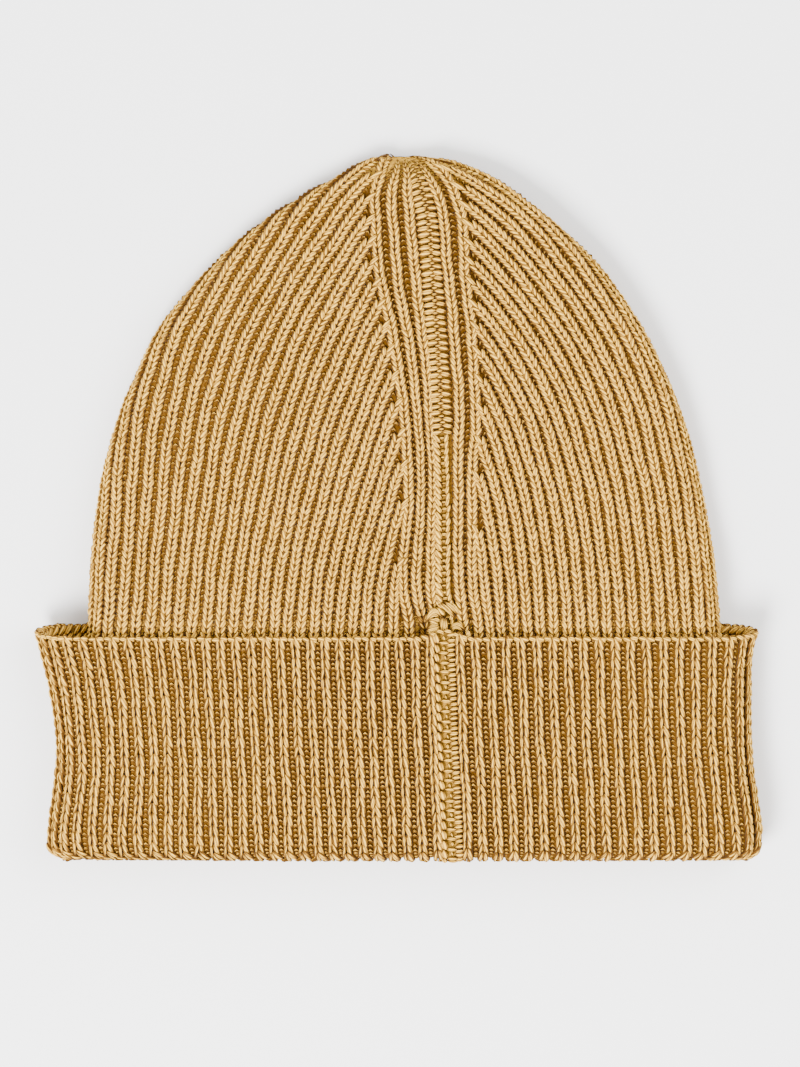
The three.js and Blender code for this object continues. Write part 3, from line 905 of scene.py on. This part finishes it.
def seen_right(point, normal):
    """Stitches of the top face and its edges, on the right."""
    return (normal[:, 2] > FACE_SPLIT) & (point[:, 0] >= SPLIT_X)


def seen(point, normal):
    """Stitches of the whole top face and its edges."""
    return normal[:, 2] > FACE_SPLIT


def underneath(point, normal):
    """Stitches of the face that lies on the floor."""
    return normal[:, 2] <= FACE_SPLIT


def hollow_shade(point):
    """How much painted shade darkens the yarn in the crease at the rim, and in the hollow beside the tack."""
    rim = 0.1 * (1 - smoothstep(point[:, 1], CUFF_HEIGHT, CUFF_HEIGHT + 2.5))
    away = np.hypot(point[:, 0] - SEAM_X + 6.5, (point[:, 1] - CUFF_HEIGHT - 4) * 0.8)
    return rim + 0.7 * np.exp(-(away / 4.5) ** 2)


def lay_rib_ends(strands, columns):
    """Where a rib ends, its last stitch leans over the rib that runs on."""
    starts, ends = [], []
    for column in columns:
        top = crown_rib_end(column, CROWN_START, CROWN_END)
        if top >= TIP - 1:
            continue
        place, live, _, front = side_place(np.array(float(column)), np.array(top))
        line = front + 1 if place < live / 2 else RIB_COUNT - UNDER_PANEL - 1
        line = COLUMNS - line if column > RIB_COUNT else line
        starts.append(crown_at(column, top - 1.3, -0.6))
        ends.append(crown_at(line, top + 1.2, -0.35))
    start_points, start_normals = (np.array(values) for values in zip(*starts))
    end_points, end_normals = (np.array(values) for values in zip(*ends))
    normals = unit(start_normals + end_normals)
    t = np.linspace(0, 1, strands.rings)[None, :, None]
    arch = normals[:, None] * 0.3 * np.sin(math.pi * t)
    centres = start_points[:, None] * (1 - t) + end_points[:, None] * t + arch
    radii = 0.85 * full(t[:, :, 0], 0.55, 1) * np.ones((len(centres), 1))
    # Painted shade as if the stitch lay this deep
    heights = np.full(centres.shape[:2], -0.7)
    strands.add(centres, normals, radii, heights, rng.random(len(centres)))


dress(make_crown_fabric(), deep_wool, "crown_knit", "crown")
dress(make_cuff_fabric(), deep_wool, "cuff_knit", "cuff")

# Stitches of the crown: ribs on even columns beside the seam channel, and arches in the valleys between
CROWN_START = CUFF_HEIGHT - 5
CROWN_END = TIP - 0.6
DIP_END = TIP - 1.5
UNDER_SHADE = (0.6, 1.5)
ribs = range(2, COLUMNS - 1, 2)
valleys = range(3, COLUMNS - 2, 2)
crown_stitches = gather_ribs(crown_at, ribs, CROWN_START, CROWN_END, CROWN_COURSE, crown_rib_end)
crown_dips = gather_ribs(crown_at, valleys, CROWN_START, DIP_END, CROWN_COURSE, crown_rib_end)
for name, keep in (("crown_stitches_left", seen_left), ("crown_stitches_right", seen_right)):
    strands = Strands(5, 5)
    lay_legs(strands, crown_at, crown_stitches, CROWN_COURSE, V_CROWN, keep, hollow_shade)
    strands.finish(name, "crown_knit")
strands = Strands(4, 3)
lay_legs(strands, crown_at, crown_stitches, CROWN_COURSE, {**V_CROWN, "shade": UNDER_SHADE}, underneath)
strands.finish("crown_stitches_under", "crown_knit")
strands = Strands(5, 3)
lay_arcs(strands, crown_at, crown_dips, ARC_CROWN, seen)
strands.finish("crown_valleys", "crown_knit")
strands = Strands(6, 5)
lay_rib_ends(strands, ribs)
strands.finish("crown_rib_ends", "crown_knit")

# Stitches of the cuff: down the band, round the fold and into the mouth
MOUTH_DEPTH = 30
CUFF_END = BAND + ROLL + MOUTH_DEPTH
HALF_ROLL = BAND + ROLL / 2
MOUTH_SHADE = (0.9, 1.5)
MOUTH_LIFT = 0.8


def mouth_at(column, down, offset):
    """Where the stitches lie inside the mouth: they stand out more from the fabric past the fold."""
    return cuff_at(column, down, offset + MOUTH_LIFT * smoothstep(down, BAND + 0.6 * ROLL, BAND + ROLL + 1))


cuff_stitches = gather_ribs(cuff_at, ribs, 1.0, HALF_ROLL, CUFF_COURSE)
mouth_stitches = gather_ribs(cuff_at, ribs, HALF_ROLL, CUFF_END, CUFF_COURSE)
cuff_dips = gather_ribs(cuff_at, valleys, 2.0, BAND + ROLL * 0.6, CUFF_ARC_PITCH)
strands = Strands(5, 5)
lay_legs(strands, cuff_at, cuff_stitches, CUFF_COURSE, V_CUFF, seen)
strands.finish("cuff_stitches_top", "cuff_knit")
strands = Strands(4, 3)
lay_legs(strands, cuff_at, cuff_stitches, CUFF_COURSE, {**V_CUFF, "shade": UNDER_SHADE}, underneath)
lay_legs(strands, mouth_at, mouth_stitches, CUFF_COURSE, {**V_CUFF, "shade": MOUTH_SHADE})
strands.finish("cuff_stitches_under", "cuff_knit")
strands = Strands(5, 3)
lay_arcs(strands, cuff_at, cuff_dips, ARC_CUFF, seen)
strands.finish("cuff_valleys", "cuff_knit")

# The seam up the crown: bars of yarn that meet over a row of holes, and steeper ones nearer the cuff
SEAM_CHANGE = CUFF_HEIGHT + 62
strands = Strands(6, 5)
seam_ways = rib_ways(crown_at, 0, CROWN_START, TIP - 0.8, CROWN_COURSE)
upper_ways = seam_ways[seam_ways > SEAM_CHANGE]
lower_ways = seam_ways[seam_ways <= SEAM_CHANGE]
for bar in (
    (-3.4, -0.5, -0.15, 0.15, -0.95, 0.35, 0.9),
    (0.3, 0.1, 3.1, -0.35, -1.2, 0.3, 0.84),
    (-0.7, 0.95, 0.9, 1.05, -1.1, 0.25, 0.5),
):
    lay_bars(strands, crown_at, upper_ways, bar)
for bar in (
    (-2.9, 1.15, -0.9, -1.05, -1.05, 0.6, 0.95),
    (0.95, -1.1, 1.5, 1.0, -1.05, 0.5, 0.78),
    (-0.9, 0.0, 1.1, 0.1, -1.2, 0.3, 0.55),
):
    lay_bars(strands, crown_at, lower_ways, bar)
strands.finish("crown_seam_stitches", "seam_yarn", "crown_seam")

# The seam down the cuff: a row of small loops, a ladder with a loop in each gap, and close bars beside it
strands = Strands(6, 5)
course_ways = rib_ways(cuff_at, 0, 1.5, HALF_ROLL, CUFF_COURSE)
half_ways = rib_ways(cuff_at, 0, 1.5, HALF_ROLL, CUFF_COURSE / 2)
for ways, bar in (
    (course_ways, (3.0, -0.95, 2.2, 1.05, -0.95, 0.45, 1.0)),
    (course_ways, (1.7, 1.4, -1.1, 1.5, -0.8, 0.2, 0.6)),
    (course_ways, (0.45, -0.5, 0.0, 0.5, -1.0, 0.2, 0.52)),
    (half_ways, (-0.8, 0.1, -3.1, -0.25, -1.0, 0.3, 0.68)),
):
    lay_bars(strands, cuff_at, ways, bar)
strands.finish("cuff_seam_stitches", "seam_yarn", "cuff_seam")


def lay_edge(strands):
    """The bound edge: small loops over it from face to face, and a row of short stitches along it."""
    columns = np.arange(0.5, COLUMNS, 1.0)
    frames = frames_at(cuff_at, columns, np.full_like(columns, 1.0))
    along, normal, pitch = frames[2:]
    count = len(columns)
    fit = np.minimum(1.0, pitch / FULL_PITCH)[:, None]
    t = np.linspace(0, 1, strands.rings)
    turn = math.pi * t
    w = 0.3 * (t - 0.5)[None] * pitch[:, None] + rng.normal(0, 0.08, (count, 1))
    l = (0.5 - 0.6 * np.sin(turn))[None] + rng.normal(0, 0.08, (count, 1))
    h = (-1.6 + 0.7 * np.cos(turn))[None] + rng.normal(0, UNEVEN_HEIGHT, (count, 1))
    outwards = normal[:, None] * np.cos(turn)[:, None] - along[:, None] * np.sin(turn)[:, None]
    radii = (0.6 + 0.14 * np.sin(turn))[None] * rng.normal(1, UNEVEN_SIZE, (count, 1)) * fit
    # Painted shade for the loops, as if they lay this deep
    heights = np.full_like(radii, -0.45)
    strands.add(place_points(frames, w, l, h), outwards, radii, heights, rng.random(count), 1.0,
                (0.45, 1.3), 0.2)
    w = 0.44 * (t - 0.5)[None] * pitch[:, None] + rng.normal(0, 0.1, (count, 1))
    l = -0.2 - rng.normal(0.45, 0.25, (count, 1)) * (t - 0.5)[None] + rng.normal(0, 0.1, (count, 1))
    h = -1.15 + 0.45 * np.sin(turn)[None] - 0.2 * (t - 0.5)[None] + rng.normal(0, 0.05, (count, 1))
    radii = (0.3 + 0.48 * np.sin(turn) ** 0.7)[None] * rng.normal(1, 0.08, (count, 1)) * fit
    # Painted shade for the stitches along the edge, as if they lay this deep
    heights = np.full_like(radii, -0.4)
    strands.add(place_points(frames, w, l, h), normal, radii, heights, rng.random(count), 1.0,
                (0.3, 1.2), 0.3)


strands = Strands(5, 7)
lay_edge(strands)
strands.finish("bound_edge_loops", "cuff_knit")

# The inside of the layer underneath shows beside the crown: rows of slanting loops under the bound edge
LINING_SHAPE = {"least": 1.0, "ends": 0.3, "shade": (0.75, 1.5), "legs": [
    {"foot": (-0.26, -0.5), "head": (0.26, 0.55), "base": -1.2, "arch": 0.5, "round": 0.4,
     "radius": 0.88, "thin": 0.5, "full": 4.2},
]}
LINING_LIFT = 0.6
LINING_ROWS = (1.7, 4.0, 6.3, 8.6)
LINING_COLUMNS = np.concatenate([np.arange(40, 80, 1.0), np.arange(116, 156, 1.0)])


def lining_at(column, down, offset):
    """The cuff's inner face, seen from the inside."""
    point, normal = cuff_at(column, down, -WALL)
    return point - normal * (offset + LINING_LIFT), -normal


same = np.ones_like(LINING_COLUMNS)
lining_stitches = np.concatenate([
    np.stack([LINING_COLUMNS, same * down, same * number], 1) for number, down in enumerate(LINING_ROWS)
])
strands = Strands(5, 5)
lay_legs(strands, lining_at, lining_stitches, LINING_COURSE, LINING_SHAPE)
strands.finish("cuff_lining_stitches", "cuff_knit")

# Threads of the tack, from the middle of the tack in millimetres: their ends, how far they bow along the
# hat, how high they lie over the crown, and their radius
TACK_TABLE = table(("x0", "y0", "x1", "y1", "bow", "high", "radius"), [
    (-5.6, -0.6, -0.9, 0.9, 2.4, 0.9, 0.75),
    (-4.9, -0.4, -1.3, 0.1, 1.4, 1.0, 0.6),
    (-1.6, 4.7, 3.1, 0.7, 0.5, 0.9, 0.74),
    (0.2, 5.0, 4.3, 1.3, 0.6, 0.8, 0.6),
    (1.9, 5.0, 5.0, 0.9, 0.6, 0.6, 0.52),
    (-4.6, -0.4, -1.5, -1.5, 0.4, 1.2, 0.66),
    (-4.4, -1.3, -1.3, -2.3, 0.3, 1.4, 0.62),
    (-3.3, -0.1, -1.1, -0.8, 0.3, 1.4, 0.5),
    (-0.7, 0.5, -0.4, -4.9, 0.0, 2.1, 0.6),
    (0.4, 0.3, 0.6, -4.4, 0.0, 2.2, 0.56),
    (-5.1, -2.7, -1.0, -2.8, 0.6, 1.9, 0.56),
    (-5.3, -3.7, -0.9, -3.7, 0.5, 2.2, 0.58),
    (-5.4, -4.7, -1.0, -4.6, 0.4, 2.6, 0.54),
    (-5.3, -5.6, -1.3, -5.4, 0.3, 2.9, 0.5),
    (-5.6, -6.6, -2.1, -6.2, 0.3, 3.1, 0.5),
    (-5.4, -7.5, -2.1, -7.1, 0.3, 3.1, 0.48),
    (-5.0, -8.4, -2.3, -8.0, 0.3, 3.1, 0.46),
    (1.3, -3.1, 6.4, -3.1, 1.6, 1.9, 0.5),
    (1.8, -3.7, 5.7, -3.9, 1.3, 2.1, 0.45),
    (1.5, -4.2, 4.6, -7.7, 0.4, 2.6, 0.5),
    (2.6, -3.9, 5.6, -7.0, 0.5, 2.6, 0.46),
    (3.9, -3.9, 6.2, -6.3, 0.5, 2.6, 0.42),
    (1.6, -6.1, 4.9, -4.5, -0.4, 2.9, 0.38),
    (2.0, -7.5, 5.2, -5.7, -0.3, 3.0, 0.38),
    (1.3, -5.2, 2.9, -8.4, 0.2, 2.8, 0.42),
    (5.9, -8.4, 8.7, -8.4, 4.5, 3.1, 0.52),
    (6.7, -8.0, 7.9, -8.0, 3.2, 3.0, 0.4),
])


def lay_tack(strands):
    """Each thread as two plies side by side, which start and end a little lower."""
    rows = {name: values[:, None] for name, values in TACK_TABLE.items()}
    count = len(TACK_TABLE["x0"])
    t = np.linspace(0, 1, strands.rings)
    hump = np.sin(math.pi * t)
    dx, dy = rows["x1"] - rows["x0"], rows["y1"] - rows["y0"]
    length = np.hypot(dx, dy)
    middle_y = CUFF_HEIGHT + 0.3 + TACK_LENGTH / 2
    ground = tack_low.z / MM - 0.3
    radii = rows["radius"] * 0.62 * full(t, 0.5)
    up = np.broadcast_to(np.array([0.0, 0.0, 1.0]), (count, 3))
    for side in (-1, 1):
        aside = side * rows["radius"] * 0.5 * (0.4 + 0.6 * hump)
        x = rows["x0"] + dx * t - aside * (dy / length)
        y = rows["y0"] + dy * t + rows["bow"] * hump + aside * (dx / length)
        sink = 0.8 * (1 - hump) + rng.uniform(0, 0.35, (count, 1))
        centres = np.stack([SEAM_X + x, middle_y + y, ground + rows["high"] - sink], -1)
        # Painted shade: each ply darkens where it sinks into the crown
        strands.add(centres, up, radii, -sink - 0.6 * radii.max(), rng.random(count))


strands = Strands(8, 9)
lay_tack(strands)
strands.finish("tack_threads", "seam_yarn", "seam_tack")


FLOOR_SIZE = 6
FLOOR_GAP = 0.0003
WORLD_STRENGTH = 1.5
# Name, place in metres, size in metres and power in watts
LIGHTS = (
    ("key", (-0.5, -0.75, 1.3), 0.6, 80.0),
    ("fill", (0.9, 0.3, 1.2), 1.2, 30.0),
)


def make_stage():
    """A plain white floor under soft studio lights."""
    bpy.ops.mesh.primitive_plane_add(size=FLOOR_SIZE, location=(0, 0, -FLOOR_GAP))
    floor = bpy.context.object
    floor.name = "floor"
    material = bpy.data.materials.new("white_floor")
    material.use_nodes = True
    shader = material.node_tree.nodes["Principled BSDF"]
    shader.inputs["Base Color"].default_value = (0.93, 0.93, 0.93, 1)
    shader.inputs["Roughness"].default_value = 0.9
    floor.data.materials.append(material)
    world = bpy.data.worlds.new("studio")
    world.use_nodes = True
    background = world.node_tree.nodes["Background"]
    background.inputs["Color"].default_value = (1, 1, 1, 1)
    background.inputs["Strength"].default_value = WORLD_STRENGTH
    bpy.context.scene.world = world
    for name, place, size, power in LIGHTS:
        light = bpy.data.lights.new(name, "AREA")
        light.size = size
        light.energy = power
        lamp = bpy.data.objects.new(name, light)
        lamp.location = place
        bpy.context.scene.collection.objects.link(lamp)
        x, y, z = place
        tilt = math.acos(z / math.hypot(x, y, z))
        lamp.rotation_euler = (tilt, 0, math.atan2(-y, -x) - math.pi / 2)


# The photograph: its size in pixels, the size of a pixel, and where the fold and the hat's middle line are
PHOTO_WIDTH = 800
PHOTO_HEIGHT = 1067
PIXEL = 0.3077 * MM
FOLD_PIXEL = 860
AXIS_PIXEL = 404
# The camera stands this far above the middle of the hat's thickness
CAMERA_DISTANCE = 1.4
HALF_THICKNESS = 0.012
SENSOR = 36


def make_camera():
    """Straight above, as the photograph was taken, with its whole frame."""
    data = bpy.data.cameras.new("camera")
    data.sensor_width = SENSOR
    data.lens = SENSOR * CAMERA_DISTANCE / (PHOTO_HEIGHT * PIXEL)
    camera = bpy.data.objects.new("camera", data)
    x = MIDDLE + (PHOTO_WIDTH / 2 - AXIS_PIXEL) * PIXEL
    y = FOLD + (FOLD_PIXEL - PHOTO_HEIGHT / 2) * PIXEL
    camera.location = (x, y, CAMERA_DISTANCE + HALF_THICKNESS)
    bpy.context.scene.collection.objects.link(camera)
    bpy.context.scene.camera = camera


make_stage()
make_camera()
